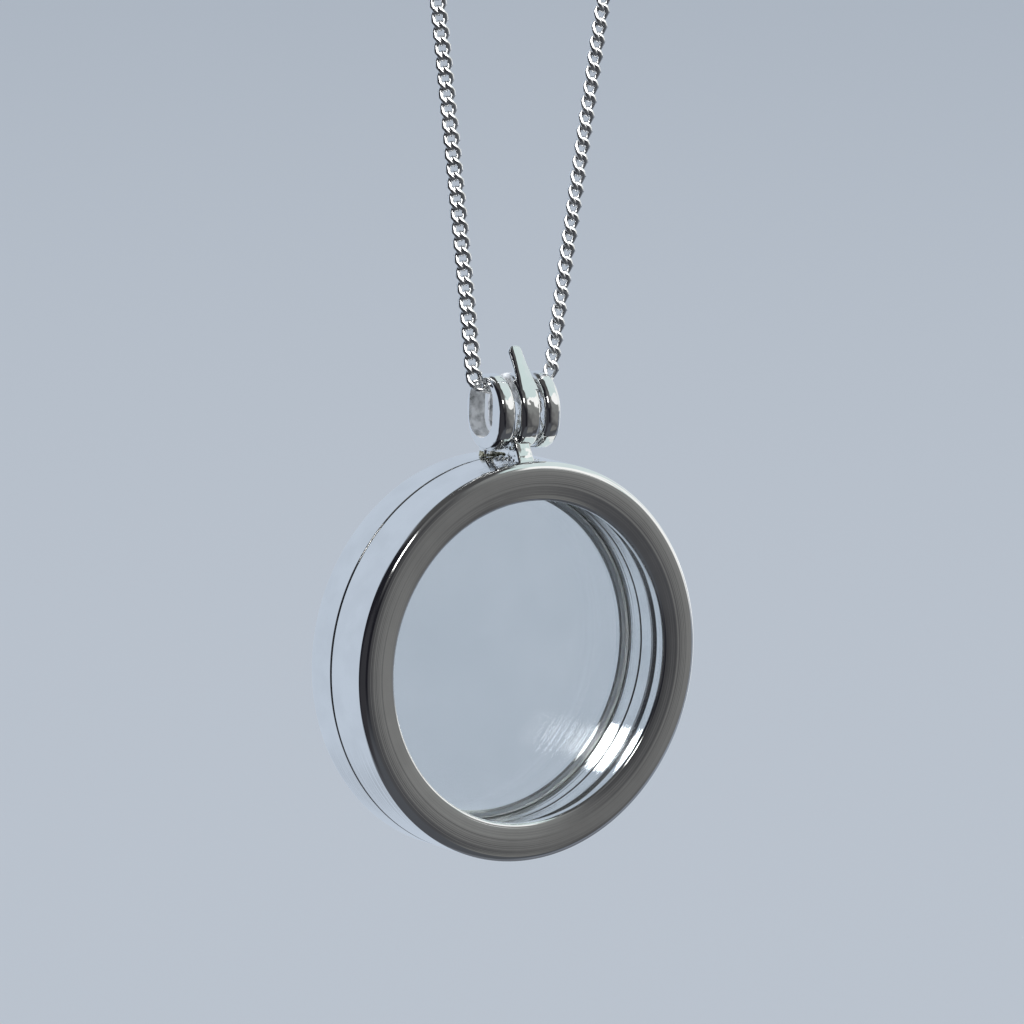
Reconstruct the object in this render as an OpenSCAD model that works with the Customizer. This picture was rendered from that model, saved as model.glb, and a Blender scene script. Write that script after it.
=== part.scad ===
// Round glass locket on a curb chain, hung from the nape of the neck.
// X runs across the front, the front glass faces -Y, and Z is up.
// The origin is the underside of the clasp, where the chain lies on the neck.
// All sizes are in millimetres.

/* [Case] */
// Outside diameter of the case
case_d = 30; // [26:0.5:34]
// Depth of the front half, from the seam to its face
front_depth = 4.25; // [4:0.05:5]
// Depth of the back half, from the seam to its face
back_depth = 3.05; // [2.8:0.05:3.8]
// Width of the ring face round each glass
ring_w = 2.92; // [2.6:0.02:3.4]
// Thickness of the side wall
wall_t = 2.35; // [2:0.05:2.5]
// Thickness of the lip in front of each glass
lip_t = 0.6; // [0.5:0.05:0.8]
// Radius of the rounded outer edge
edge_r = 0.6; // [0.3:0.05:1]
// Radius of the shallow crown across each ring face
crown_r = 9; // [7:0.5:20]
// Gap between the two halves at the seam
seam_gap = 0.1; // [0.06:0.02:0.2]

/* [Glass] */
// Thickness of each glass
glass_t = 0.7; // [0.5:0.05:0.9]
// Gap between a glass and its seat
glass_gap = 0.04; // [0.02:0.01:0.1]

/* [Bail] */
// Size of a loop from front to back
loop_y = 4.8; // [4.6:0.05:5.2]
// Height of a loop
loop_z = 5.75; // [5.6:0.05:6]
// Size of the hole through the loops from front to back
hole_y = 3; // [2.8:0.05:3.1]
// Height of the hole through the loops
hole_z = 4.3; // [4:0.05:4.4]
// How far the hole's middle is above the loops' own
hole_up = 0.275; // [0.2:0.025:0.3]
// How far the outer loops' middle is in front of the hole's
loop_ahead = 0.4; // [0:0.05:0.5]
// Width of each of the two outer loops
outer_w = 1.38; // [1.2:0.02:1.5]
// Width of the middle loop
middle_w = 1.74; // [1.4:0.02:1.8]
// Gap between neighbouring loops
loop_gap = 0.44; // [0.36:0.02:0.46]
// Rounding of the loops' outer edges
loop_edge_r = 0.45; // [0.3:0.05:0.5]
// How far the middle loop stands in front of the outer two
middle_step = 0.1; // [0:0.05:0.2]
// Clear height between the case and the loops
loop_lift = 0.55; // [0.4:0.05:0.7]
// Width of the stem that carries the middle loop
stem_w = 1.1; // [0.9:0.05:1.4]
// Width of the feet that carry the outer loops
foot_w = 0.9; // [0.8:0.05:1]
// Width of the thumb tab
tab_w = 0.9; // [0.8:0.05:1.2]
// Thickness of the thumb tab
tab_t = 0.5; // [0.4:0.05:0.7]
// Length of the thumb tab from where it leaves the loop
tab_len = 3.6; // [3:0.1:4.2]
// How far the thumb tab leans back from upright, in degrees
tab_lean = 34; // [28:1:40]

/* [Chain] */
// Width of the curb chain
chain_d = 1.08; // [0.9:0.02:1.12]
// Gap between the chain and the top of the hole through the loops
chain_gap = 0.12; // [0.1:0.02:0.3]

/* [Clasp] */
// Diameter of the plain barrel clasp
clasp_d = 2.4; // [2:0.1:3]
// Length of the barrel without its two eyes
clasp_len = 7; // [6.6:0.1:7.2]
// Radius of each eye's wire
eye_wire_r = 0.22; // [0.18:0.01:0.26]
// Radius of each eye at the middle of its wire
eye_r = 0.62; // [0.56:0.02:0.66]

/* [Hidden] */
$fn = 96;

// The chain's route on the +X side, from the middle of the bail up to the clasp.
// Each row is the distance from the middle and the height above the bail's own axis.
// The other side is its mirror image, and the whole loop is 450 long.
chain_half = [
    [0, 0], [1.4, 0], [2.5, 0], [3.0, 0.1], [3.34, 0.42], [3.5, 1], [3.58, 2],
    [4.8, 11], [7.7, 31], [10.6, 51], [13.5, 71], [16.4, 91], [19.3, 111], [22.2, 131],
    [25.1, 151], [28.0, 171], [28.4, 174.9], [28.1, 179.6], [26.8, 184.9], [24.4, 190.1],
    [20.9, 194.8], [16.6, 198.6], [11.5, 201.6], [5, 203.6]
];
// Height of the top of the loop above the bail's axis
loop_rise = 204;
// Longest stretch of chain between two rings of its tube
ring_step = 6.7;
// Sides of the chain's tube
chain_sides = 8;

case_r = case_d / 2;
hole_r = case_r - ring_w;
bore_r = case_r - wall_t;
// The seam lies behind the middle of the case, so both faces are as far from it
face_h = (front_depth + back_depth) / 2;
seam_h = face_h - front_depth;
crown_at_r = case_r - 0.38 * ring_w;
// The tongue in the back half's edge, which stands in a groove in the front half
tongue_h = 0.5;
tongue_r0 = bore_r + 0.35 * wall_t;
tongue_r1 = bore_r + 0.65 * wall_t;
tongue_gap = 0.08;
// How far the crown falls from its top to the glass
lip_drop = 0.2;
// How deep the soldered stem and feet go into the case
solder_depth = 0.4;

// Heights above the middle of the case
loop_mid_z = case_r + loop_lift + loop_z / 2;
hole_mid_z = loop_mid_z + hole_up;
swing_z = hole_mid_z + hole_z / 2 - chain_gap - chain_d / 2;
// Heights in the whole necklace
axis_z = clasp_d / 2 - loop_rise;
case_z = axis_z - swing_z;

outer_x = (middle_w + outer_w) / 2 + loop_gap;
loop_r = loop_y / 2;
loop_straight = loop_z - loop_y;
hole_end_r = hole_y / 2;
hole_straight = hole_z - hole_y;
middle_ahead = loop_ahead + middle_step;
// The stem of the middle loop and the feet of the outer loops, from front to back
stem_y0 = -middle_ahead - 0.65 * loop_r;
stem_y1 = stem_y0 + 1.1;
stem_top = case_r + loop_lift + 0.85;
foot_y0 = -seam_h + seam_gap;
foot_y1 = foot_y0 + 0.9;
foot_top = case_r + loop_lift + 1.1;
// Distance of each foot's middle from the middle of the bail
foot_x = outer_x - 0.25;
eye_x = clasp_len / 2 + eye_r - 0.15;

// Puts what is drawn round the middle of the case in its place in the necklace
module at_case() {
    translate([0, 0, case_z]) children();
}

// Turns a section of radius and height towards the front about the case's own axis
module turned() {
    rotate([90, 0, 0]) rotate_extrude() children();
}

module block_2d(x0, x1, y0, y1) {
    translate([x0, y0]) square([x1 - x0, y1 - y0]);
}

// One half's section: side wall, crowned ring face with a rounded edge, and glass lip
module half_section(depth) {
    top = face_h;
    intersection() {
        union() {
            block_2d(bore_r, case_r, top - depth + seam_gap / 2, top - edge_r);
            block_2d(hole_r, case_r - edge_r, top - lip_t - lip_drop, top);
            translate([case_r - edge_r, top - edge_r]) circle(r = edge_r);
        }
        translate([crown_at_r, top - crown_r]) circle(r = crown_r);
    }
}

module front_ring() {
    turned() difference() {
        half_section(front_depth);
        block_2d(tongue_r0 - tongue_gap, tongue_r1 + tongue_gap, seam_h - 1,
            seam_h + tongue_h + tongue_gap);
    }
}

module back_ring() {
    turned() union() {
        mirror([0, 1]) half_section(back_depth);
        block_2d(tongue_r0, tongue_r1, seam_h - 0.6, seam_h + tongue_h);
    }
}

// Rounded rectangle that is centred on the origin
module rounded_2d(x, y, r) {
    union() {
        square([x - 2 * r, y], center = true);
        square([x, y - 2 * r], center = true);
        for (sx = [-1, 1]) for (sy = [-1, 1])
            translate([sx * (x / 2 - r), sy * (y / 2 - r)]) circle(r = r);
    }
}

// Upper half of a loop's solid disc
module half_disc(w) {
    rotate([90, 0, 90]) rotate_extrude(angle = 180) intersection() {
        rounded_2d(2 * loop_r, w, loop_edge_r);
        translate([0, -w]) square([loop_r + 1, 2 * w]);
    }
}

// A loop of the bail before its hole is cut
module loop_body(w) {
    union() {
        translate([0, 0, loop_straight / 2]) half_disc(w);
        translate([0, 0, -loop_straight / 2]) linear_extrude(loop_straight)
            rounded_2d(w, 2 * loop_r, loop_edge_r);
        mirror([0, 0, 1]) translate([0, 0, loop_straight / 2]) half_disc(w);
    }
}

// The hole through all three loops
module loop_hole() {
    translate([0, 0, hole_mid_z]) rotate([90, 0, 90]) linear_extrude(12, center = true) union() {
        for (s = [-1, 1]) translate([0, s * hole_straight / 2]) circle(r = hole_end_r);
        square([hole_y, hole_straight], center = true);
    }
}

// The thumb tab leaves the loop's front along its tangent and leans back
module tab() {
    tangent_y = -middle_ahead - loop_r * cos(tab_lean);
    tangent_z = loop_straight / 2 + loop_r * sin(tab_lean);
    translate([0, tangent_y, tangent_z]) rotate([-tab_lean, 0, 0]) rotate([-90, 0, 0])
        linear_extrude(tab_t) union() {
            translate([-tab_w / 2, -tab_len + tab_w / 2]) square([tab_w, tab_len]);
            translate([0, -tab_len + tab_w / 2]) circle(d = tab_w);
        }
}

module middle_loop() {
    stem_z = case_r - solder_depth - 0.1;
    difference() {
        union() {
            translate([0, -middle_ahead, loop_mid_z]) loop_body(middle_w);
            translate([0, 0, loop_mid_z]) tab();
            translate([-stem_w / 2, stem_y0, stem_z])
                cube([stem_w, stem_y1 - stem_y0, stem_top - stem_z]);
        }
        loop_hole();
    }
}

module outer_loops() {
    foot_z = case_r - solder_depth;
    difference() {
        union() for (s = [-1, 1]) {
            translate([s * outer_x, -loop_ahead, loop_mid_z]) loop_body(outer_w);
            translate([s * foot_x - foot_w / 2, foot_y0, foot_z])
                cube([foot_w, foot_y1 - foot_y0, foot_top - foot_z]);
        }
        loop_hole();
    }
}

module front_half() {
    color([0.8, 0.81, 0.83]) at_case() union() {
        front_ring();
        middle_loop();
    }
}

module back_half() {
    color([0.74, 0.76, 0.79]) at_case() union() {
        back_ring();
        outer_loops();
    }
}

// A flat glass behind a lip; side is 1 for the front one and -1 for the back one
module glass(side) {
    outer_h = face_h - lip_t - lip_drop - glass_gap;
    at_case() turned() block_2d(0, bore_r - glass_gap,
        side > 0 ? outer_h - glass_t : -outer_h, side > 0 ? outer_h : glass_t - outer_h);
}

module front_glass() {
    color([0.86, 0.93, 0.96, 0.35]) glass(1);
}

module back_glass() {
    color([0.86, 0.93, 0.96, 0.35]) glass(-1);
}

// The whole route from one end of the clasp round to the other, as [x, z]
half_n = len(chain_half);
route = concat(
    [for (i = [half_n - 1:-1:1]) [-chain_half[i][0], chain_half[i][1]]],
    chain_half
);

// Places of the tube's rings: the route's points, with long stretches divided evenly
function steps(i) = max(1, ceil(norm(route[i + 1] - route[i]) / ring_step));
rings = concat(
    [for (i = [0:len(route) - 2]) let (n = steps(i)) for (k = [0:n - 1])
        route[i] + (route[i + 1] - route[i]) * k / n],
    [route[len(route) - 1]]
);

function unit(v) = v / norm(v);
function along(i) = unit(rings[min(i + 1, len(rings) - 1)] - rings[max(i - 1, 0)]);

// Corner k of the tube's ring i
function corner(i, k) =
    let (t = along(i), a = 360 * (k + 0.5) / chain_sides, r = chain_d / 2 / cos(180 / chain_sides))
    [rings[i][0] - t[1] * r * cos(a), r * sin(a), rings[i][1] + t[0] * r * cos(a)];

module chain() {
    n = len(rings);
    m = chain_sides;
    points = [for (i = [0:n - 1]) for (k = [0:m - 1]) corner(i, k)];
    sides = [for (i = [0:n - 2]) for (k = [0:m - 1]) let (j = (k + 1) % m)
        each [[i * m + k, i * m + j, (i + 1) * m + j], [i * m + k, (i + 1) * m + j, (i + 1) * m + k]]];
    ends = [[for (k = [m - 1:-1:0]) k], [for (k = [0:m - 1]) (n - 1) * m + k]];
    color([0.78, 0.8, 0.83]) translate([0, 0, axis_z])
        polyhedron(points = points, faces = concat(sides, ends), convexity = 6);
}

// One plain barrel with an eye at each end for the chain's last links
module clasp() {
    end_r = 0.5;
    color([0.82, 0.83, 0.85]) translate([0, 0, clasp_d / 2]) union() {
        rotate([0, 90, 0]) rotate_extrude() intersection() {
            rounded_2d(clasp_d, clasp_len, end_r);
            translate([0, -clasp_len]) square([clasp_d, 2 * clasp_len]);
        }
        for (s = [-1, 1]) translate([s * eye_x, 0, 0]) rotate([90, 0, 0])
            rotate_extrude() translate([eye_r, 0]) circle(r = eye_wire_r);
    }
}

front_half();
back_half();
front_glass();
back_glass();
chain();
clasp();
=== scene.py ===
import math

import bmesh
import bpy
from mathutils import Matrix, Vector


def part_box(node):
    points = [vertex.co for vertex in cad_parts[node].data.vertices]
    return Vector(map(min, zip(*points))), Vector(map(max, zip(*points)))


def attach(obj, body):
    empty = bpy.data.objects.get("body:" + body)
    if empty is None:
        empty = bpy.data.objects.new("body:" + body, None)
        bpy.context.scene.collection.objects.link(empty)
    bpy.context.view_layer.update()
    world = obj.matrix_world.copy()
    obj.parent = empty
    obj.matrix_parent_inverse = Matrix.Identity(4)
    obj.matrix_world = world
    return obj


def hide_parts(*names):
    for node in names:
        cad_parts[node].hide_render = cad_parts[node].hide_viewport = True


# Finished looks of a round glass locket on a curb chain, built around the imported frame.
# The locket's lengths are named in millimetres and turned into metres when a mesh is finished.

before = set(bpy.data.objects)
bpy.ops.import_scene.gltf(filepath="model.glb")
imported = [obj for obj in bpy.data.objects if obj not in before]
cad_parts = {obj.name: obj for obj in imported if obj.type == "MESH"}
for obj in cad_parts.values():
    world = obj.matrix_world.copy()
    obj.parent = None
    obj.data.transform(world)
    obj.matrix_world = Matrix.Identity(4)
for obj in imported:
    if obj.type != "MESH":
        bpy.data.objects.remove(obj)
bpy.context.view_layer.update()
MM = 0.001
# Points closer than this become one
MERGE = 0.001
# How near to a surface the middle of a face counts as on it
ON_SURFACE = 0.02

# The case, measured on the frame, with heights from its middle plane towards each half's face
glass_low, glass_high = (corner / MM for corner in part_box("front_glass"))
half_low, half_high = (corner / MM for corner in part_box("back_half"))
CASE_Z = (glass_low.z + glass_high.z) / 2
GLASS_R = (glass_high.x - glass_low.x) / 2
CASE_R = (half_high.x - half_low.x) / 2
FACE_H = half_high.y
GLASS_OUTER_H = -glass_low.y
GLASS_INNER_H = -glass_high.y
TURN_STEPS = 288

# The free opening, and the bore that holds the glass
HOLE_R = 12.08
BORE_R = 12.65
# The lip in front of a glass: its underside, its edge, and where the frosted part of its seat begins
LIP_UNDER_H = 2.85
LIP_EDGE_R = 0.26
SEAT_R = 12.3
# The ring face's outer edge and its crown
EDGE_R = 0.6
CROWN_R = 9.0
CROWN_AT_R = 13.89
CROWN_ROWS = 16
# The seam between the halves, how far inside its edges its dark tarnish and painted shade start, and how
# deep they go
SEAM_Y = 0.6
SEAM_GAP = 0.1
SEAM_EDGE_R = 0.1
SEAM_DARK_INSET = 0.06
SEAM_DARK_END_Y = -0.1
# The back half's tongue, and its play in the front half's groove
TONGUE_R0 = 13.4725
TONGUE_R1 = 14.1775
TONGUE_H = 0.5
TONGUE_EDGE_R = 0.05
TONGUE_GAP = 0.08
# The low ridge in the front half's bore that its glass stops against
RIDGE_H = 1.47
RIDGE_RISE = 0.23
RIDGE_TIP_R = 0.04
RIDGE_FOOT_H = 0.75
RIDGE_FOOT_R = 0.2
# A corner in the bore that is only just broken
CORNER_R = 0.03
# The lines of polish on the case fade between these distances outside it
LINES_FADE_START = 0.1
LINES_FADE_END = 0.4
# Their depth in metres, and how many times as deep the dents on the bail are
LINE_DEPTH = 0.00004
DENTS_TO_LINES = 3.0

# The glasses' edge, and how deep its whitish finish reaches
GLASS_EDGE_R = 0.04
GROUND_DEPTH = 0.045
GLASS_STEPS = 192

# The bail's loops, with heights above the middle of the case
LOOP_Z = 18.425
LOOP_R = 2.4
LOOP_STRAIGHT = 0.95
LOOP_EDGE_R = 0.45
LOOP_STEPS = 96
# How far the loops' outside leans back as it goes up
LOOP_LEAN = 0.03
# How far the outlines of the outer loops and of the middle one stand ahead of their holes
OUTER_AHEAD = 0.4
MIDDLE_AHEAD = 0.5
MIDDLE_W = 1.74
OUTER_W = 1.38
OUTER_X = 2.0
HOLE_Z = 18.7
HOLE_END_R = 1.5
HOLE_STRAIGHT = 1.3
HOLE_EDGE_R = 0.05
# How far from its hole the middle loop's sides are satin
SATIN_REACH = 0.5

# The thumb tab: its lean, lengths, widths, thickness and the radii of its edges
TAB_LEAN = math.radians(34)
TAB_LEN = 3.75
TAB_FLARE_LEN = 3.0
TAB_TIP_W = 1.04
TAB_ROOT_W = 1.7
TAB_T = 0.5
TAB_LEFT_R = 0.32
TAB_BACK_R = 0.15
TAB_RIGHT_R = 0.07
# The powers that shape its flare and the round of its tip, and how much each face comes in at the tip
FLARE_POWER = 1.6
TIP_POWER_IN = 2.2
TIP_POWER_OUT = 0.46
TIP_THINNING = 0.25
TIP_THINNING_POWER = 6
# The rows of its shaft and of its tip, and the angle at which the tip closes
SHAFT_ROWS = 14
TIP_ROWS = 10
TIP_END = math.radians(84)

# The stem under the middle loop, and how far its front slopes forward towards the case
STEM_X = -0.4
STEM_W = 1.3
STEM_Y = (-2.0, -1.3)
STEM_Z = (14.7, 16.7)
STEM_FLARE = 0.12
STEM_SLOPE = 0.95
# The feet under the outer loops
FOOT_X = 1.35
FOOT_W = 0.7
FOOT_Y = (0.75, 1.6)
FOOT_Z = (14.6, 16.65)
FOOT_FLARE = 0.15
# Stem and feet alike: the share of the height that flares, the cuts along it, and the rounded edges
POST_FLARE_SHARE = 0.75
POST_CUTS = 10
POST_EDGE_R = 0.14
POST_EDGE_ANGLE = math.radians(45)

# Beads of solder, as x, y, height above the middle of the case and radius
DARK_SOLDER = [
    (-1.95, 0.84, 14.97, 0.14), (-1.75, 0.86, 15.02, 0.19), (-1.5, 0.88, 15.06, 0.22),
    (-1.25, 0.88, 15.05, 0.21), (-1.0, 0.88, 15.08, 0.22), (-0.75, 0.88, 15.07, 0.22),
    (-0.5, 0.87, 15.07, 0.21), (-0.25, 0.86, 15.05, 0.2), (0.0, 0.85, 15.02, 0.17),
    (-1.6, 1.1, 15.12, 0.22), (-1.2, 1.12, 15.18, 0.24), (-0.8, 1.1, 15.16, 0.24),
]
BRIGHT_SOLDER = [
    (-1.5, -0.55, 14.92, 0.22), (-1.2, -0.66, 14.96, 0.28), (-1.7, -0.85, 14.88, 0.13),
    (-1.42, -1.12, 14.9, 0.16), (-0.98, -0.98, 14.98, 0.17), (-1.0, -1.5, 14.98, 0.17),
    (-0.98, -1.75, 15.15, 0.16), (-1.0, -2.1, 15.0, 0.16), (-0.95, -1.3, 15.3, 0.15),
    (-1.0, -2.2, 15.35, 0.11), (-2.75, -1.5, 14.68, 0.12), (-2.6, -1.62, 14.7, 0.09),
    (0.5, -2.25, 14.97, 0.12), (0.72, -2.3, 14.96, 0.08), (0.95, -2.35, 14.95, 0.06),
]
# How uneven and how flat a bead is, with the waves across and up it and their shift from bead to bead
BEAD_WOBBLE = 0.12
BEAD_FLATNESS = 0.85
BEAD_WAVES = (9, 7)
BEAD_SHIFTS = (40, 30)
# How far round a bead, in its radii, the metal counts as dark solder
BEAD_REACH = 1.14

# The chain, with its route on the +X side as distance from the middle and height above the bail's axis
AXIS_Z = -202.8
ROUTE_HALF = [
    (0, 0), (1.4, 0), (2.5, 0), (3.0, 0.1), (3.34, 0.42), (3.5, 1), (3.58, 2),
    (4.8, 11), (7.7, 31), (10.6, 51), (13.5, 71), (16.4, 91), (19.3, 111), (22.2, 131),
    (25.1, 151), (28.0, 171), (28.4, 174.9), (28.1, 179.6), (26.8, 184.9), (24.4, 190.1),
    (20.9, 194.8), (16.6, 198.6), (11.5, 201.6), (5, 203.6), (4.4, 203.8),
]
ROUTE_SMOOTHING = 3
LINK_PITCH = 1.113
LINK_W = 1.4
LINK_STEPS = 12
LINK_TWIST = math.radians(-62)
WIRE_D = 0.47
WIRE_SIDES = 6
# The links inside the bail are drawn in to this share of their width, clear of its swing
BAIL_LINK_SHARE = 0.76
# How far from the middle and above the bail's axis a link counts as inside the bail
BAIL_REACH = 2.95
BAIL_RISE = 1
# Where each strand has left the bail, as a distance from the middle
STRAND_X = 3.5
# Where the flat side of the left and the right strand faces, as an azimuth
LEFT_FACES = math.radians(-35)
RIGHT_FACES = math.radians(0)
# Where the chain runs level, through the bail and at the nape, its flat side leans back
LEVEL_FACES = (0, -0.7, 0.7)

# The clasp at the nape, and how deep its eyes sit in the barrel's ends
CLASP_D = 2.4
CLASP_LEN = 7.0
CLASP_EDGE_R = 0.5
CLASP_STEPS = 64
EYE_R = 0.62
EYE_WIRE_R = 0.22
EYE_WIRE_SIDES = 16
EYE_STEPS = 40
EYE_SINK = 0.15


# Mesh helpers


def rounded(corners, segments=6):
    """Points of a closed outline from (x, y, corner radius) rows, with an arc where the radius isn't 0."""
    points = []
    for i, (x, y, radius) in enumerate(corners):
        here = Vector((x, y))
        if radius == 0:
            points.append(here)
            continue
        before = (Vector(corners[i - 1][:2]) - here).normalized()
        after = (Vector(corners[(i + 1) % len(corners)][:2]) - here).normalized()
        half = before.angle(after) / 2
        centre = here + (before + after).normalized() * radius / math.sin(half)
        start = here + before * radius / math.tan(half) - centre
        end = here + after * radius / math.tan(half) - centre
        for k in range(segments + 1):
            points.append(centre + start.slerp(end, k / segments).normalized() * radius)
    return points


def wire(bm, points, closed=True):
    """Points and edges of a line in space, which ends where it began if it is closed."""
    verts = [bm.verts.new(p) for p in points]
    ahead = verts[1:] + verts[:1] if closed else verts[1:]
    return verts, [bm.edges.new(pair) for pair in zip(verts, ahead)]


def turned(bm, outline, axis_point, axis, steps, closed=True):
    """Turns an outline all the way round an axis."""
    verts, edges = wire(bm, outline, closed)
    bmesh.ops.spin(
        bm, geom=verts + edges, cent=axis_point, axis=axis, angle=math.tau, steps=steps, use_merge=True
    )


def upright_edges(bm):
    """The edges whose ends differ in height."""
    return [e for e in bm.edges if abs(e.verts[0].co.z - e.verts[1].co.z) > MERGE]


def add(bm, part):
    """Puts a finished part into a piece's mesh."""
    mesh = bpy.data.meshes.new("part")
    part.to_mesh(mesh)
    part.free()
    bm.from_mesh(mesh)
    bpy.data.meshes.remove(mesh)


def finished(name, bm, materials, body, node, sharp_deg=30, inlays=()):
    """A mesh in metres that rides on a body and stands for a node.

    Each inlay is a test that picks the faces for one more of the materials.
    """
    bmesh.ops.remove_doubles(bm, verts=bm.verts, dist=MERGE)
    bmesh.ops.recalc_face_normals(bm, faces=bm.faces)
    for i, inlay in enumerate(inlays):
        for face in bm.faces:
            if inlay(face.calc_center_median()):
                face.material_index = i + 1
    bmesh.ops.scale(bm, vec=(MM, MM, MM), verts=bm.verts)
    mesh = bpy.data.meshes.new(name)
    bm.to_mesh(mesh)
    bm.free()
    mesh.shade_smooth()
    mesh.set_sharp_from_angle(angle=math.radians(sharp_deg))
    for material in materials:
        mesh.materials.append(material)
    piece = bpy.data.objects.new(name, mesh)
    bpy.context.scene.collection.objects.link(piece)
    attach(piece, body)
    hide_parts(node)
    return piece


def keep_flats_flat(piece):
    """Lets the large faces set the shading, so that a rounded edge doesn't bend the flat beside it."""
    weighted = piece.modifiers.new("flat_faces_first", "WEIGHTED_NORMAL")
    weighted.mode = "FACE_AREA"
    weighted.weight = 60
    weighted.keep_sharp = True


# Materials


def new_material(name):
    """A new material, its node tree and its shader."""
    material = bpy.data.materials.new(name)
    material.use_nodes = True
    tree = material.node_tree
    return material, tree, tree.nodes["Principled BSDF"]


def object_place(tree):
    """The socket that gives a point's place on the piece."""
    return tree.nodes.new("ShaderNodeTexCoord").outputs["Object"]


def noise(tree, vector, scale, detail):
    """A cloudy pattern over a vector socket."""
    texture = tree.nodes.new("ShaderNodeTexNoise")
    texture.inputs["Scale"].default_value = scale
    texture.inputs["Detail"].default_value = detail
    tree.links.new(vector, texture.inputs["Vector"])
    return texture.outputs["Fac"]


def mapped(tree, value, from_range, to_range=(0.0, 1.0), way="LINEAR"):
    """A value moved from one range into another."""
    node = tree.nodes.new("ShaderNodeMapRange")
    node.interpolation_type = way
    node.inputs["From Min"].default_value = from_range[0]
    node.inputs["From Max"].default_value = from_range[1]
    node.inputs["To Min"].default_value = to_range[0]
    node.inputs["To Max"].default_value = to_range[1]
    tree.links.new(value, node.inputs["Value"])
    return node.outputs["Result"]


def toned(tree, shader, value, low_colour, high_colour, span=(0.0, 1.0)):
    """Takes a shader from one colour to another as a value goes through a span."""
    tone = tree.nodes.new("ShaderNodeValToRGB")
    for stop, position, colour in zip(tone.color_ramp.elements, span, (low_colour, high_colour)):
        stop.position = position
        stop.color = (*colour, 1)
    tree.links.new(value, tone.inputs["Fac"])
    tree.links.new(tone.outputs["Color"], shader.inputs["Base Color"])


def bumped(tree, shader, height, strength, distance):
    """Raises a shader's surface by a height socket."""
    bump = tree.nodes.new("ShaderNodeBump")
    bump.inputs["Strength"].default_value = strength
    bump.inputs["Distance"].default_value = distance
    tree.links.new(height, bump.inputs["Height"])
    tree.links.new(bump.outputs["Normal"], shader.inputs["Normal"])


def around_case(tree, place):
    """Two sockets: the distance from the case's axis, and a vector of that distance and the depth."""
    centred = tree.nodes.new("ShaderNodeVectorMath")
    centred.operation = "SUBTRACT"
    centred.inputs[1].default_value = (0, 0, CASE_Z * MM)
    tree.links.new(place, centred.inputs[0])
    apart = tree.nodes.new("ShaderNodeSeparateXYZ")
    tree.links.new(centred.outputs["Vector"], apart.inputs["Vector"])
    flat = tree.nodes.new("ShaderNodeCombineXYZ")
    tree.links.new(apart.outputs["X"], flat.inputs["X"])
    tree.links.new(apart.outputs["Z"], flat.inputs["Z"])
    radius = tree.nodes.new("ShaderNodeVectorMath")
    radius.operation = "LENGTH"
    tree.links.new(flat.outputs["Vector"], radius.inputs[0])
    around = tree.nodes.new("ShaderNodeCombineXYZ")
    tree.links.new(radius.outputs["Value"], around.inputs["X"])
    tree.links.new(apart.outputs["Y"], around.inputs["Y"])
    return radius.outputs["Value"], around.outputs["Vector"]


def silver_finish(name, tint, rough, relief, metallic=1.0, dull=0.93, patches=420.0):
    """Silver with a breath of haze, fine lines of polish round the case and shallow dents on the bail.

    Rough is the range of its roughness, relief how much the lines and dents stand out, dull the share
    of the tint that the hazy patches keep, and patches how small they are.
    """
    material, tree, shader = new_material(name)
    shader.inputs["Metallic"].default_value = metallic
    place = object_place(tree)
    haze = noise(tree, place, scale=patches, detail=5.0)
    tree.links.new(mapped(tree, haze, (0.35, 0.7), to_range=rough), shader.inputs["Roughness"])
    toned(tree, shader, haze, [dull * c for c in tint], tint, span=(0.3, 0.62))

    # Beyond the case, on the bail, the lines fade and the dents take their place
    radius, around = around_case(tree, place)
    lines = noise(tree, around, scale=3000.0, detail=4.0)
    dents = noise(tree, place, scale=800.0, detail=2.0)
    deep = tree.nodes.new("ShaderNodeMath")
    deep.operation = "MULTIPLY"
    deep.inputs[1].default_value = DENTS_TO_LINES
    tree.links.new(dents, deep.inputs[0])
    fade = ((CASE_R + LINES_FADE_END) * MM, (CASE_R + LINES_FADE_START) * MM)
    height = tree.nodes.new("ShaderNodeMix")
    tree.links.new(mapped(tree, radius, fade), height.inputs["Factor"])
    tree.links.new(deep.outputs["Value"], height.inputs["A"])
    tree.links.new(lines, height.inputs["B"])
    bumped(tree, shader, height.outputs["Result"], strength=relief, distance=LINE_DEPTH)
    return material


def clear_glass():
    """Clear flat glass with the faintest smears."""
    material, tree, shader = new_material("clear_glass")
    shader.inputs["Transmission Weight"].default_value = 1.0
    shader.inputs["IOR"].default_value = 1.5
    shader.inputs["Roughness"].default_value = 0.0
    smear = noise(tree, object_place(tree), scale=160.0, detail=6.0)
    toned(tree, shader, smear, (0.93, 0.945, 0.95), (0.97, 0.98, 0.982), span=(0.35, 0.7))
    return material


def ground_edge():
    """The glass's rim, ground to a whitish matt finish."""
    material, tree, shader = new_material("ground_glass_edge")
    shader.inputs["Roughness"].default_value = 0.7
    grit = noise(tree, object_place(tree), scale=3500.0, detail=3.0)
    toned(tree, shader, grit, (0.84, 0.87, 0.88), (0.95, 0.97, 0.98))
    return material


def seam_tarnish_and_shade():
    """Dark tarnish inside the seam, where no polish reaches, made near black as painted shade for the
    shadow in the gap.
    """
    material, tree, shader = new_material("seam_tarnish_and_shade")
    shader.inputs["Metallic"].default_value = 0.6
    shader.inputs["Roughness"].default_value = 0.55
    mottle = noise(tree, object_place(tree), scale=900.0, detail=4.0)
    # Near black: partly tarnish, partly painted shade standing in for the dark gap of the seam
    toned(tree, shader, mottle, (0.006, 0.006, 0.007), (0.03, 0.03, 0.033))
    return material


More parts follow.
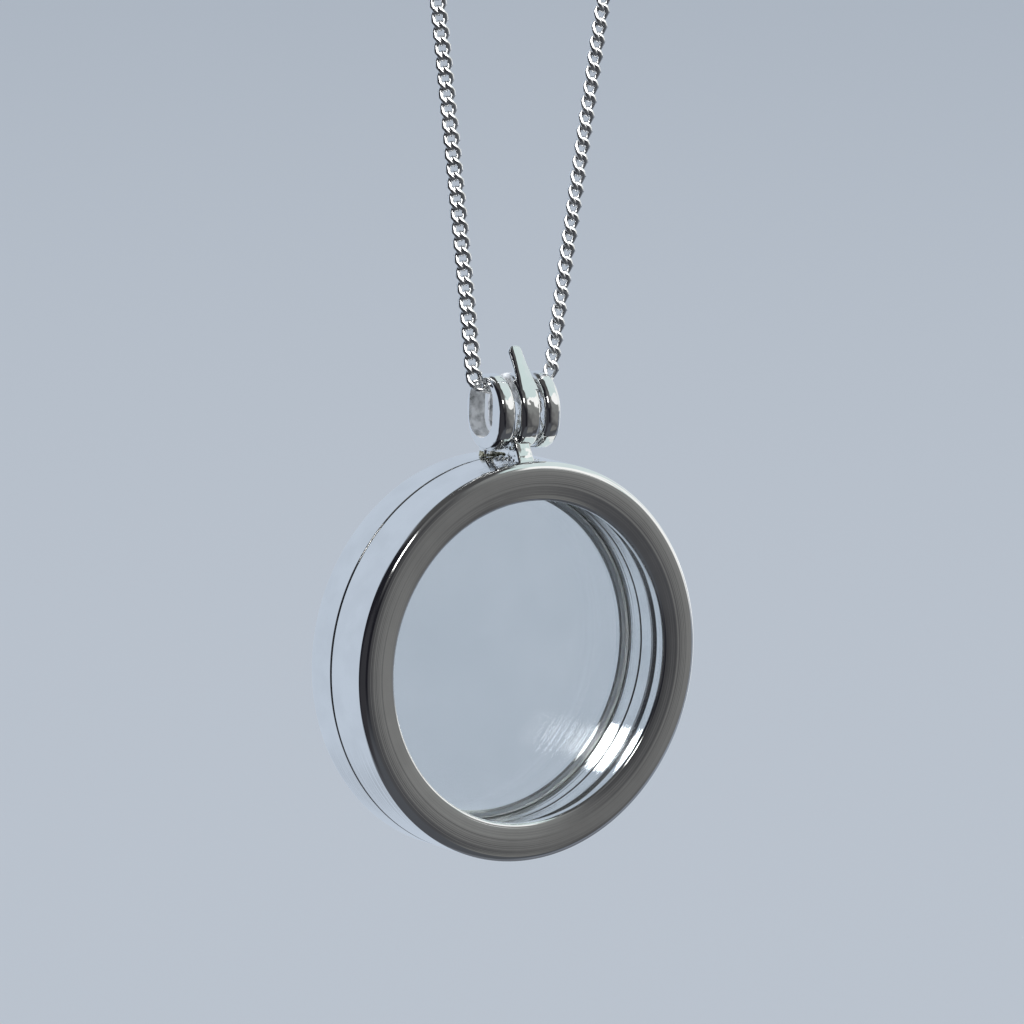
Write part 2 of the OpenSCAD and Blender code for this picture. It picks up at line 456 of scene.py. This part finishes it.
def olive_solder():
    """Rough brownish olive solder, dark with a few bright grains."""
    material, tree, shader = new_material("olive_solder")
    shader.inputs["Metallic"].default_value = 0.3
    grain = noise(tree, object_place(tree), scale=5200.0, detail=5.0)
    toned(tree, shader, grain, (0.1, 0.095, 0.05), (0.62, 0.6, 0.48), span=(0.38, 0.66))
    rough = mapped(tree, grain, (0.4, 0.65), to_range=(0.65, 0.3))
    tree.links.new(rough, shader.inputs["Roughness"])
    bumped(tree, shader, grain, strength=0.9, distance=0.0001)
    return material


def pale_floor():
    """The floor's plain matt finish."""
    material, _, shader = new_material("pale_floor")
    shader.inputs["Base Color"].default_value = (0.79, 0.79, 0.79, 1)
    shader.inputs["Roughness"].default_value = 0.9
    shader.inputs["Specular IOR Level"].default_value = 0.0
    return material


# The case


def crown(r):
    """Height of the crowned ring face at a distance from the case's axis."""
    return FACE_H - CROWN_R + math.sqrt(CROWN_R ** 2 - (r - CROWN_AT_R) ** 2)


def face_rows():
    """A half's section from the side wall over the ring face and the glass lip to the bore."""
    outer, width = CASE_R - EDGE_R, CASE_R - EDGE_R - HOLE_R - LIP_EDGE_R
    crown_rs = [outer - k * width / CROWN_ROWS for k in range(1, CROWN_ROWS)]
    return [(CASE_R, crown(CASE_R), EDGE_R)] + [(r, crown(r), 0) for r in crown_rs] + [
        (HOLE_R, crown(HOLE_R), LIP_EDGE_R),
        (HOLE_R, LIP_UNDER_H, CORNER_R),
        (SEAT_R, LIP_UNDER_H, 0),
        (BORE_R, LIP_UNDER_H, CORNER_R),
    ]


def ring_front(bm):
    """The front half's ring, with the groove for the tongue in its seam face and the ridge in its bore."""
    seam, groove_top = SEAM_GAP / 2 - SEAM_Y, TONGUE_H + TONGUE_GAP - SEAM_Y
    inner, outer = TONGUE_R0 - TONGUE_GAP, TONGUE_R1 + TONGUE_GAP
    rows = [
        (BORE_R, seam, SEAM_EDGE_R),
        (inner, seam, 0), (inner, groove_top, 0), (outer, groove_top, 0), (outer, seam, 0),
        (CASE_R, seam, SEAM_EDGE_R),
    ] + face_rows() + [
        (BORE_R, RIDGE_H, CORNER_R),
        (BORE_R - RIDGE_RISE, RIDGE_H - RIDGE_RISE, RIDGE_TIP_R),
        (BORE_R, RIDGE_FOOT_H, RIDGE_FOOT_R),
    ]
    outline = [Vector((p.x, -p.y, CASE_Z)) for p in rounded(rows)]
    turned(bm, outline, (0, 0, CASE_Z), (0, 1, 0), TURN_STEPS)


def ring_back(bm):
    """The back half's ring, with the tongue that stands in the front half's groove."""
    seam, tongue_top = SEAM_GAP / 2 + SEAM_Y, SEAM_Y - TONGUE_H
    rows = [
        (BORE_R, seam, TONGUE_EDGE_R),
        (TONGUE_R0, seam, 0),
        (TONGUE_R0, tongue_top, TONGUE_EDGE_R), (TONGUE_R1, tongue_top, TONGUE_EDGE_R),
        (TONGUE_R1, seam, 0),
        (CASE_R, seam, SEAM_EDGE_R),
    ] + face_rows()
    outline = [Vector((p.x, p.y, CASE_Z)) for p in rounded(rows)]
    turned(bm, outline, (0, 0, CASE_Z), (0, 1, 0), TURN_STEPS)


def from_axis(p):
    """A point's distance from the case's axis."""
    return math.hypot(p.x, p.z - CASE_Z)


def in_seam(p):
    """Says whether a point lies on the hidden faces of the seam."""
    inside = BORE_R + SEAM_DARK_INSET < from_axis(p) < CASE_R - SEAM_DARK_INSET
    return inside and SEAM_DARK_END_Y < p.y < SEAM_Y + SEAM_GAP / 2 + ON_SURFACE / 2


def on_glass_seat(p):
    """Says whether a point lies on the outer part of the seat that the back glass rests on."""
    return abs(p.y - LIP_UNDER_H) < ON_SURFACE and SEAT_R < from_axis(p) < BORE_R + ON_SURFACE / 2


def in_hole(p, margin=ON_SURFACE):
    """Says whether a point lies on the inside of the bail's holes, or within a margin round them."""
    beyond = max(0.0, abs(p.z - CASE_Z - HOLE_Z) - HOLE_STRAIGHT / 2)
    return math.hypot(p.y, beyond) < HOLE_END_R + margin


def round_middle_hole(p):
    """The middle loop's sides are satin too, where they show through the left loop's hole."""
    return in_hole(p, SATIN_REACH)


def in_dark_solder(p):
    """Says whether a point lies on the dark solder."""
    return any((p - Vector((x, y, CASE_Z + h))).length < BEAD_REACH * r for x, y, h, r in DARK_SOLDER)


def on_rim(p):
    """Says whether a point lies on the ground rim of a glass."""
    return from_axis(p) > GLASS_R - GROUND_DEPTH


def loop_outline(y, h, radius, straight, drawn_out=False):
    """A round-ended upright outline at a depth and height; drawn out, its upper half is an oval."""
    points = []
    for k in range(LOOP_STEPS):
        a = math.tau * (k + 0.5) / LOOP_STEPS
        rise = radius * math.sin(a)
        if drawn_out and rise > 0:
            rise *= 1 + straight / 2 / radius
        else:
            rise += math.copysign(straight / 2, rise)
        points.append(Vector((0, y + radius * math.cos(a), CASE_Z + h + rise)))
    return points


def loop_shell(bm, x, width, ahead):
    """One loop of the bail: a round-ended band with rounded outer edges and a hole behind its middle."""
    part = bmesh.new()
    outer = loop_outline(-ahead, LOOP_Z, LOOP_R, LOOP_STRAIGHT, drawn_out=True)
    inner = loop_outline(0, HOLE_Z, HOLE_END_R, HOLE_STRAIGHT)
    sections = []
    for rim, bore in zip(outer, inner):
        rim = rim + Vector((0, LOOP_LEAN * (rim.z - CASE_Z - LOOP_Z), 0))
        thick = (rim - bore).length
        outwards = (rim - bore).normalized()
        edge_r = min(LOOP_EDGE_R, thick - 2 * HOLE_EDGE_R)
        corners = [
            (-width / 2, 0, HOLE_EDGE_R), (width / 2, 0, HOLE_EDGE_R),
            (width / 2, thick, edge_r), (-width / 2, thick, edge_r),
        ]
        points = [bore + outwards * p.y + Vector((x + p.x, 0, 0)) for p in rounded(corners, segments=8)]
        sections.append(wire(part, points)[1])
    for near, far in zip(sections, sections[1:] + sections[:1]):
        bmesh.ops.bridge_loops(part, edges=near + far)
    bmesh.ops.recalc_face_normals(part, faces=part.faces)
    add(bm, part)


def post(bm, x, width, y_range, z_range, flare, slope=0.0):
    """A post whose foot flares out into the case and whose front slopes forward going down."""
    part = bmesh.new()
    low = Vector((x - width / 2, y_range[0], CASE_Z + z_range[0]))
    high = Vector((x + width / 2, y_range[1], CASE_Z + z_range[1]))
    middle = (low + high) / 2
    made = bmesh.ops.create_cube(part, size=1.0)["verts"]
    bmesh.ops.scale(part, vec=high - low, verts=made)
    bmesh.ops.translate(part, vec=middle, verts=made)
    bmesh.ops.subdivide_edges(part, edges=upright_edges(part), cuts=POST_CUTS, use_grid_fill=True)
    for v in part.verts:
        t = (v.co.z - low.z) / (high.z - low.z)
        spread = flare * max(0.0, 1 - t / POST_FLARE_SHARE) ** 3
        v.co.x += math.copysign(spread, v.co.x - middle.x)
        v.co.y += math.copysign(spread, v.co.y - middle.y)
        if v.co.y < middle.y:
            v.co.y -= slope * (1 - t)
    corners = [e for e in upright_edges(part) if e.calc_face_angle() > POST_EDGE_ANGLE]
    bmesh.ops.bevel(
        part, geom=corners, offset=POST_EDGE_R, segments=4, affect="EDGES", profile=0.5, material=-1,
        clamp_overlap=True,
    )
    add(bm, part)


def tab_section(s):
    """The tab's section at a distance from its root: flat in front, well rounded along the left edge."""
    tip_r = TAB_TIP_W / 2
    into_tip = min(max((s - TAB_LEN + tip_r) / tip_r, 0), 1)
    flare = max(0.0, 1 - s / TAB_FLARE_LEN) ** FLARE_POWER
    half = (TAB_TIP_W + (TAB_ROOT_W - TAB_TIP_W) * flare) / 2
    half *= (1 - into_tip ** TIP_POWER_IN) ** TIP_POWER_OUT
    inset = TIP_THINNING * TAB_T * into_tip ** TIP_THINNING_POWER
    fit = min(1.0, half / TAB_TIP_W * 2)
    corners = [
        (-half, inset, TAB_LEFT_R * fit), (half, inset, TAB_RIGHT_R * fit),
        (half, TAB_T - inset, TAB_RIGHT_R * fit), (-half, TAB_T - inset, TAB_BACK_R * fit),
    ]
    return [Vector((p.x, p.y, s)) for p in rounded(corners)]


def tab_shell(bm):
    """The thumb tab: a flat strip with a round tip that leaves the middle loop's front and leans back."""
    part = bmesh.new()
    tip_r = TAB_TIP_W / 2
    shaft = [(TAB_LEN - tip_r) * k / SHAFT_ROWS for k in range(SHAFT_ROWS)]
    tip = [TAB_LEN - tip_r + tip_r * math.sin(TIP_END * k / TIP_ROWS) for k in range(TIP_ROWS + 1)]
    rings = [wire(part, tab_section(s)) for s in shaft + tip]
    for (_, lower), (_, upper) in zip(rings, rings[1:]):
        bmesh.ops.bridge_loops(part, edges=lower + upper)
    for verts, _ in (rings[0], rings[-1]):
        part.faces.new(verts)
    # The place on the loop's oval where its front leans back as far as the tab does
    high = LOOP_R + LOOP_STRAIGHT / 2
    reach = math.hypot(LOOP_R * math.cos(TAB_LEAN), high * math.sin(TAB_LEAN))
    rise = high ** 2 * math.sin(TAB_LEAN) / reach
    ahead = MIDDLE_AHEAD + LOOP_R ** 2 * math.cos(TAB_LEAN) / reach
    root = Vector((0, -ahead + LOOP_LEAN * rise, CASE_Z + LOOP_Z + rise))
    place = Matrix.Translation(root) @ Matrix.Rotation(-TAB_LEAN, 4, "X")
    bmesh.ops.transform(part, matrix=place, verts=part.verts)
    bmesh.ops.recalc_face_normals(part, faces=part.faces)
    add(bm, part)


def beads(bm, rows):
    """Uneven beads of solder that lie where they cooled."""
    for x, y, h, r in rows:
        made = bmesh.ops.create_icosphere(bm, subdivisions=3, radius=r)["verts"]
        wobble = BEAD_WOBBLE * r
        for v in made:
            across = math.sin(BEAD_WAVES[0] * v.co.x / r + BEAD_SHIFTS[0] * x)
            up = math.cos(BEAD_WAVES[1] * v.co.z / r + BEAD_SHIFTS[1] * y)
            v.co += v.co.normalized() * wobble * across * up
            v.co.z *= BEAD_FLATNESS
        bmesh.ops.translate(bm, vec=(x, y, CASE_Z + h), verts=made)


def front_half(silver, seam, satin):
    """The front ring with the bail's middle loop, its stem, the thumb tab and bright solder."""
    bm = bmesh.new()
    ring_front(bm)
    loop_shell(bm, 0, MIDDLE_W, MIDDLE_AHEAD)
    tab_shell(bm)
    post(bm, STEM_X, STEM_W, STEM_Y, STEM_Z, STEM_FLARE, STEM_SLOPE)
    beads(bm, BRIGHT_SOLDER)
    piece = finished(
        "front_half_silver", bm, [silver, seam, satin], "pendant", "front_half",
        inlays=(in_seam, round_middle_hole),
    )
    keep_flats_flat(piece)
    return piece


def back_half(silver, seam, satin, solder, frosted):
    """The back ring with the bail's outer loops, their feet and dark solder."""
    bm = bmesh.new()
    ring_back(bm)
    for side in (-1, 1):
        loop_shell(bm, side * OUTER_X, OUTER_W, OUTER_AHEAD)
        post(bm, side * FOOT_X, FOOT_W, FOOT_Y, FOOT_Z, FOOT_FLARE)
    beads(bm, DARK_SOLDER)
    piece = finished(
        "back_half_silver", bm, [silver, seam, satin, solder, frosted], "pendant", "back_half",
        inlays=(in_seam, in_hole, in_dark_solder, on_glass_seat),
    )
    keep_flats_flat(piece)
    return piece


def glass_pane(name, glass, edge, node, inner_y, outer_y):
    """One flat glass with a fine ground edge."""
    bm = bmesh.new()
    rows = [
        (0, inner_y, 0), (GLASS_R, inner_y, GLASS_EDGE_R),
        (GLASS_R, outer_y, GLASS_EDGE_R), (0, outer_y, 0),
    ]
    outline = [Vector((p.x, p.y, CASE_Z)) for p in rounded(rows, segments=2)]
    turned(bm, outline, (0, 0, CASE_Z), (0, 1, 0), GLASS_STEPS, closed=False)
    return finished(name, bm, [glass, edge], "pendant", node, sharp_deg=10, inlays=(on_rim,))


# The chain


def smooth(points, rounds):
    """Cuts the corners of an open line a few times."""
    for _ in range(rounds):
        cut = [points[0]]
        for a, b in zip(points, points[1:]):
            cut += [a.lerp(b, 0.25), a.lerp(b, 0.75)]
        points = cut + [points[-1]]
    return points


def stations(points, pitch):
    """Points a pitch apart along a line."""
    found = [points[0]]
    for a, b in zip(points, points[1:]):
        while (b - found[-1]).length > pitch:
            # The place on this stretch that is one pitch from the last point found
            d, f = b - a, a - found[-1]
            p, q = f.dot(d) / d.length_squared, (f.length_squared - pitch ** 2) / d.length_squared
            found.append(a + d * (-p + math.sqrt(max(0.0, p * p - q))))
    return found


def link_mesh():
    """One curb link: a wire ring drawn out to an oval along X and twisted about it."""
    bm = bmesh.new()
    ring_r = (LINK_W - WIRE_D) / 2
    section = bmesh.ops.create_circle(bm, segments=WIRE_SIDES, radius=WIRE_D / 2)["verts"]
    bmesh.ops.rotate(bm, matrix=Matrix.Rotation(math.radians(90), 3, "X"), verts=section)
    bmesh.ops.translate(bm, vec=(ring_r, 0, 0), verts=section)
    bmesh.ops.spin(
        bm, geom=bm.verts[:] + bm.edges[:], cent=(0, 0, 0), axis=(0, 0, 1), angle=math.tau,
        steps=LINK_STEPS, use_merge=True,
    )
    bmesh.ops.rotate(bm, matrix=Matrix.Rotation(math.pi / LINK_STEPS, 3, "Z"), verts=bm.verts)
    reach = (LINK_PITCH + WIRE_D) / 2
    for v in bm.verts:
        v.co.x += (reach - ring_r) * math.cos(math.atan2(v.co.y, v.co.x))
        v.co.rotate(Matrix.Rotation(LINK_TWIST * v.co.x / reach, 3, "X"))
    bmesh.ops.recalc_face_normals(bm, faces=bm.faces)
    mesh = bpy.data.meshes.new("curb_link")
    bm.to_mesh(mesh)
    bm.free()
    return mesh


def link_place(a, b):
    """The place of the link between two joints of the chain, as a matrix."""
    middle = (a + b) / 2
    along = (b - a).normalized()
    side = min(max(middle.x / STRAND_X, -1), 1)
    turn = LEFT_FACES + (RIGHT_FACES - LEFT_FACES) * (side + 1) / 2
    outwards = Vector((math.sin(turn), -math.cos(turn), 0))
    across = Vector(LEVEL_FACES).lerp(outwards, abs(along.z)).cross(along).normalized()
    face = along.cross(across)
    in_bail = abs(middle.x) < BAIL_REACH and middle.z < AXIS_Z + BAIL_RISE
    share = BAIL_LINK_SHARE if in_bail else 1
    place = Matrix((along, across * share, face * share)).transposed().to_4x4()
    place.translation = middle
    return place


def curb_chain(material):
    """The whole loop of interlocking links, from one eye of the clasp through the bail to the other."""
    half = [Vector((x, 0, AXIS_Z + h)) for x, h in ROUTE_HALF]
    route = [Vector((-p.x, p.y, p.z)) for p in reversed(half[1:])] + half
    joints = stations(smooth(route, ROUTE_SMOOTHING), LINK_PITCH)
    link = link_mesh()
    bm = bmesh.new()
    for a, b in zip(joints, joints[1:]):
        first = len(bm.verts)
        bm.from_mesh(link)
        bm.verts.ensure_lookup_table()
        bmesh.ops.transform(bm, matrix=link_place(a, b), verts=bm.verts[first:])
    return finished("curb_chain", bm, [material], "necklace", "chain", sharp_deg=80)


def barrel_clasp(material):
    """A plain barrel with an eye at each end."""
    bm = bmesh.new()
    r, end = CLASP_D / 2, CLASP_LEN / 2
    rows = [(-end, 0, 0), (-end, r, CLASP_EDGE_R), (end, r, CLASP_EDGE_R), (end, 0, 0)]
    outline = [Vector((p.x, 0, r + p.y)) for p in rounded(rows, segments=8)]
    turned(bm, outline, (0, 0, r), (1, 0, 0), CLASP_STEPS, closed=False)
    for side in (-1, 1):
        x = side * (end + EYE_R - EYE_SINK)
        circle = [
            Vector((x + EYE_R + EYE_WIRE_R * math.cos(a), EYE_WIRE_R * math.sin(a), r))
            for a in (math.tau * k / EYE_WIRE_SIDES for k in range(EYE_WIRE_SIDES))
        ]
        turned(bm, circle, (x, 0, r), (0, 1, 0), EYE_STEPS)
    return finished("barrel_clasp", bm, [material], "necklace", "clasp")


def add_pieces():
    """All the finished pieces, as a list of those of the case, and the chain."""
    silver = silver_finish("polished_silver", (0.93, 0.94, 0.945), rough=(0.02, 0.06), relief=0.8)
    satin = silver_finish(
        "satin_silver", (0.98, 0.98, 0.98), rough=(0.25, 0.5), relief=0.9,
        metallic=0.35, dull=0.3, patches=1500.0,
    )
    frosted = silver_finish(
        "frosted_silver", (0.86, 0.9, 0.94), rough=(0.5, 0.6), relief=0.0, metallic=0.0
    )
    chain_silver = silver_finish(
        "chain_silver", (0.94, 0.95, 0.96), rough=(0.18, 0.26), relief=0.0
    )
    solder, glass, edge, seam = olive_solder(), clear_glass(), ground_edge(), seam_tarnish_and_shade()
    case = [
        front_half(silver, seam, satin),
        back_half(silver, seam, satin, solder, frosted),
        glass_pane("front_glass_pane", glass, edge, "front_glass", -GLASS_INNER_H, -GLASS_OUTER_H),
        glass_pane("back_glass_pane", glass, edge, "back_glass", GLASS_INNER_H, GLASS_OUTER_H),
    ]
    chain = curb_chain(chain_silver)
    barrel_clasp(silver)
    return case, chain


# Camera, light and floor

# The camera's place and aim round the middle of the case, in degrees and millimetres
CAMERA_AZIMUTH = -34.547
CAMERA_ELEVATION = 8.356
CAMERA_ROLL = 1.4
CAMERA_DISTANCE = 450
AIM_RIGHT = 0.521
AIM_UP = 10.691
SENSOR = 36.0
PIXELS_PER_MM = 13.433
FRAME_PIXELS = 1024

# The floor, in metres
FLOOR_Z = -0.3
FLOOR_R = 12
# The wall behind the locket, and how much brighter it is where the silver mirrors it
WALL = (0.50, 0.565, 0.655)
MIRRORED_WALL = 1.05

# What the polished silver mirrors, as soft round fields: azimuth and elevation seen from the locket,
# the angles where a field is full and where it ends, and its colour. Later rows lie over earlier ones.
STUDIO = [
    (0, 0, 60, 88, (0.06, 0.06, 0.063)),
    (-60, 0, 60, 75, (0.012, 0.012, 0.016)),
    (0, 90, 25, 45, (0.07, 0.07, 0.07)),
    (0, -90, 38, 60, (0.072, 0.076, 0.085)),
    (-12, 34, 10, 30, (0.13, 0.13, 0.13)),
    (-60, -20, 30, 50, (0.035, 0.035, 0.04)),
    (0, -60, 30, 50, (0.075, 0.08, 0.09)),
    (48, 0, 8, 30, (0.19, 0.19, 0.187)),
    (36, -31, 4, 12, (0.17, 0.17, 0.165)),
    (24, -19, 4, 13, (0.066, 0.067, 0.072)),
    (95, -22, 20, 34, (0.27, 0.3, 0.35)),
    (85, -40, 12, 24, (0.2, 0.22, 0.26)),
    (122, -48, 18, 30, (0.15, 0.16, 0.18)),
    (50, 26, 22, 34, (0.22, 0.225, 0.22)),
    (66, 37, 25, 28, (0.63, 0.74, 0.73)),
    (97, 33, 30, 35, (0.66, 0.75, 0.75)),
    (45.5, 21, 10.5, 13, (1.0, 1.0, 0.98)),
    (80, 14, 16, 22, (0.95, 0.95, 0.93)),
    (120, 5, 11, 17, (0.85, 0.87, 0.87)),
    (118, -7, 7, 11, (1.5, 1.5, 1.45)),
    (-18.5, 29.5, 5, 8, (7, 7, 6.8)),
]

# Lamps: azimuth and elevation seen from the locket, distance, width and height in metres, and radiance
WINDOW_BEHIND = (-160.5, 30, 0.9, 0.32, 0.18, 60)
SOFT_TOP = (0, 80, 1.6, 1.6, 1.6, 0.6)
# Two more for the glints on the chain's small links
CHAIN_LAMPS = {
    "lamp_right": (20, 40, 0.45, 0.3, 0.3, 3.0),
    "lamp_left": (-20, 60, 0.45, 0.4, 0.4, 3.0),
}


def direction(azimuth, elevation):
    """The way out from the locket at an azimuth and elevation in degrees; azimuth 0 is its front."""
    a, e = math.radians(azimuth), math.radians(elevation)
    return Vector((math.sin(a) * math.cos(e), -math.cos(a) * math.cos(e), math.sin(e)))


def add_camera():
    """The camera at the photograph's viewing angle."""
    turn, roll = math.radians(CAMERA_AZIMUTH), math.radians(CAMERA_ROLL)
    back = direction(CAMERA_AZIMUTH, CAMERA_ELEVATION)
    level = Vector((math.cos(turn), math.sin(turn), 0))
    upright = back.cross(level)
    right = level * math.cos(roll) + upright * math.sin(roll)
    up = upright * math.cos(roll) - level * math.sin(roll)
    data = bpy.data.cameras.new("camera")
    data.sensor_width = SENSOR
    data.lens = PIXELS_PER_MM * CAMERA_DISTANCE / FRAME_PIXELS * SENSOR
    data.clip_start = 0.01
    data.clip_end = 50
    camera = bpy.data.objects.new("camera", data)
    aim = Vector((0, 0, CASE_Z)) + right * AIM_RIGHT + up * AIM_UP
    place = Matrix((right, up, back)).transposed().to_4x4()
    place.translation = (aim + back * CAMERA_DISTANCE) * MM
    camera.matrix_world = place
    bpy.context.scene.collection.objects.link(camera)
    bpy.context.scene.camera = camera


def field_share(tree, place, azimuth, elevation, full, end):
    """How full a soft round field is in each direction, from 0 to 1."""
    facing = tree.nodes.new("ShaderNodeVectorMath")
    facing.operation = "DOT_PRODUCT"
    facing.inputs[1].default_value = direction(azimuth, elevation)
    tree.links.new(place, facing.inputs[0])
    angle = tree.nodes.new("ShaderNodeMath")
    angle.operation = "ARCCOSINE"
    tree.links.new(facing.outputs["Value"], angle.inputs[0])
    span = (math.radians(end), math.radians(full))
    return mapped(tree, angle.outputs["Value"], span, way="SMOOTHSTEP")


def add_world():
    """The plain wall, and the studio that the silver and the glasses mirror."""
    world = bpy.data.worlds.new("studio")
    bpy.context.scene.world = world
    world.use_nodes = True
    tree = world.node_tree
    tree.nodes.clear()
    place = tree.nodes.new("ShaderNodeTexCoord").outputs["Generated"]
    colour = None
    for azimuth, elevation, full, end, shade in STUDIO:
        mix = tree.nodes.new("ShaderNodeMix")
        mix.data_type = "RGBA"
        mix.inputs["B"].default_value = (*shade, 1)
        tree.links.new(field_share(tree, place, azimuth, elevation, full, end), mix.inputs["Factor"])
        if colour is None:
            mix.inputs["A"].default_value = (*[MIRRORED_WALL * c for c in WALL], 1)
        else:
            tree.links.new(colour, mix.inputs["A"])
        colour = mix.outputs["Result"]
    mirrored = tree.nodes.new("ShaderNodeBackground")
    tree.links.new(colour, mirrored.inputs["Color"])
    plain = tree.nodes.new("ShaderNodeBackground")
    plain.inputs["Color"].default_value = (*WALL, 1)
    # Only light paths that were mirrored see the studio, so the glasses are clear from every side
    path = tree.nodes.new("ShaderNodeLightPath")
    choice = tree.nodes.new("ShaderNodeMixShader")
    tree.links.new(path.outputs["Glossy Depth"], choice.inputs["Fac"])
    tree.links.new(plain.outputs["Background"], choice.inputs[1])
    tree.links.new(mirrored.outputs["Background"], choice.inputs[2])
    out = tree.nodes.new("ShaderNodeOutputWorld")
    tree.links.new(choice.outputs["Shader"], out.inputs["Surface"])


def add_lamp(name, azimuth, elevation, distance, width, height, radiance):
    """A soft rectangular lamp that faces the locket."""
    towards = direction(azimuth, elevation)
    data = bpy.data.lights.new(name, "AREA")
    data.shape = "RECTANGLE"
    data.size = width
    data.size_y = height
    data.energy = radiance * math.pi * width * height
    lamp = bpy.data.objects.new(name, data)
    lamp.location = Vector((0, 0, CASE_Z * MM)) + towards * distance
    lamp.rotation_mode = "QUATERNION"
    lamp.rotation_quaternion = towards.to_track_quat("Z", "Y")
    lamp.visible_camera = False
    bpy.context.scene.collection.objects.link(lamp)
    return lamp


def only_for(lamp, pieces):
    """Lets a lamp shine on some pieces only."""
    lit = bpy.data.collections.new(lamp.name)
    for piece in pieces:
        lit.objects.link(piece)
    lamp.light_linking.receiver_collection = lit


def add_floor():
    """A wide pale floor that doesn't show in the silver or through the glasses."""
    bm = bmesh.new()
    bmesh.ops.create_circle(bm, cap_ends=True, segments=96, radius=FLOOR_R)
    bmesh.ops.translate(bm, vec=(0, 0, FLOOR_Z), verts=bm.verts)
    mesh = bpy.data.meshes.new("floor")
    bm.to_mesh(mesh)
    bm.free()
    mesh.materials.append(pale_floor())
    floor = bpy.data.objects.new("floor", mesh)
    bpy.context.scene.collection.objects.link(floor)
    floor.visible_glossy = False
    floor.visible_transmission = False


def add_stage(case, chain):
    """Wall, floor and lamps round the finished pieces."""
    add_world()
    add_floor()
    behind = add_lamp("window_behind", *WINDOW_BEHIND)
    behind.visible_glossy = False
    only_for(behind, case)
    for name, setting in CHAIN_LAMPS.items():
        lamp = add_lamp(name, *setting)
        lamp.visible_transmission = False
        only_for(lamp, [chain])
    top = add_lamp("soft_top", *SOFT_TOP)
    top.visible_glossy = False
    top.visible_transmission = False
    bpy.context.scene.view_settings.view_transform = "Standard"
    bpy.context.scene.view_settings.look = "None"


add_camera()
add_stage(*add_pieces())
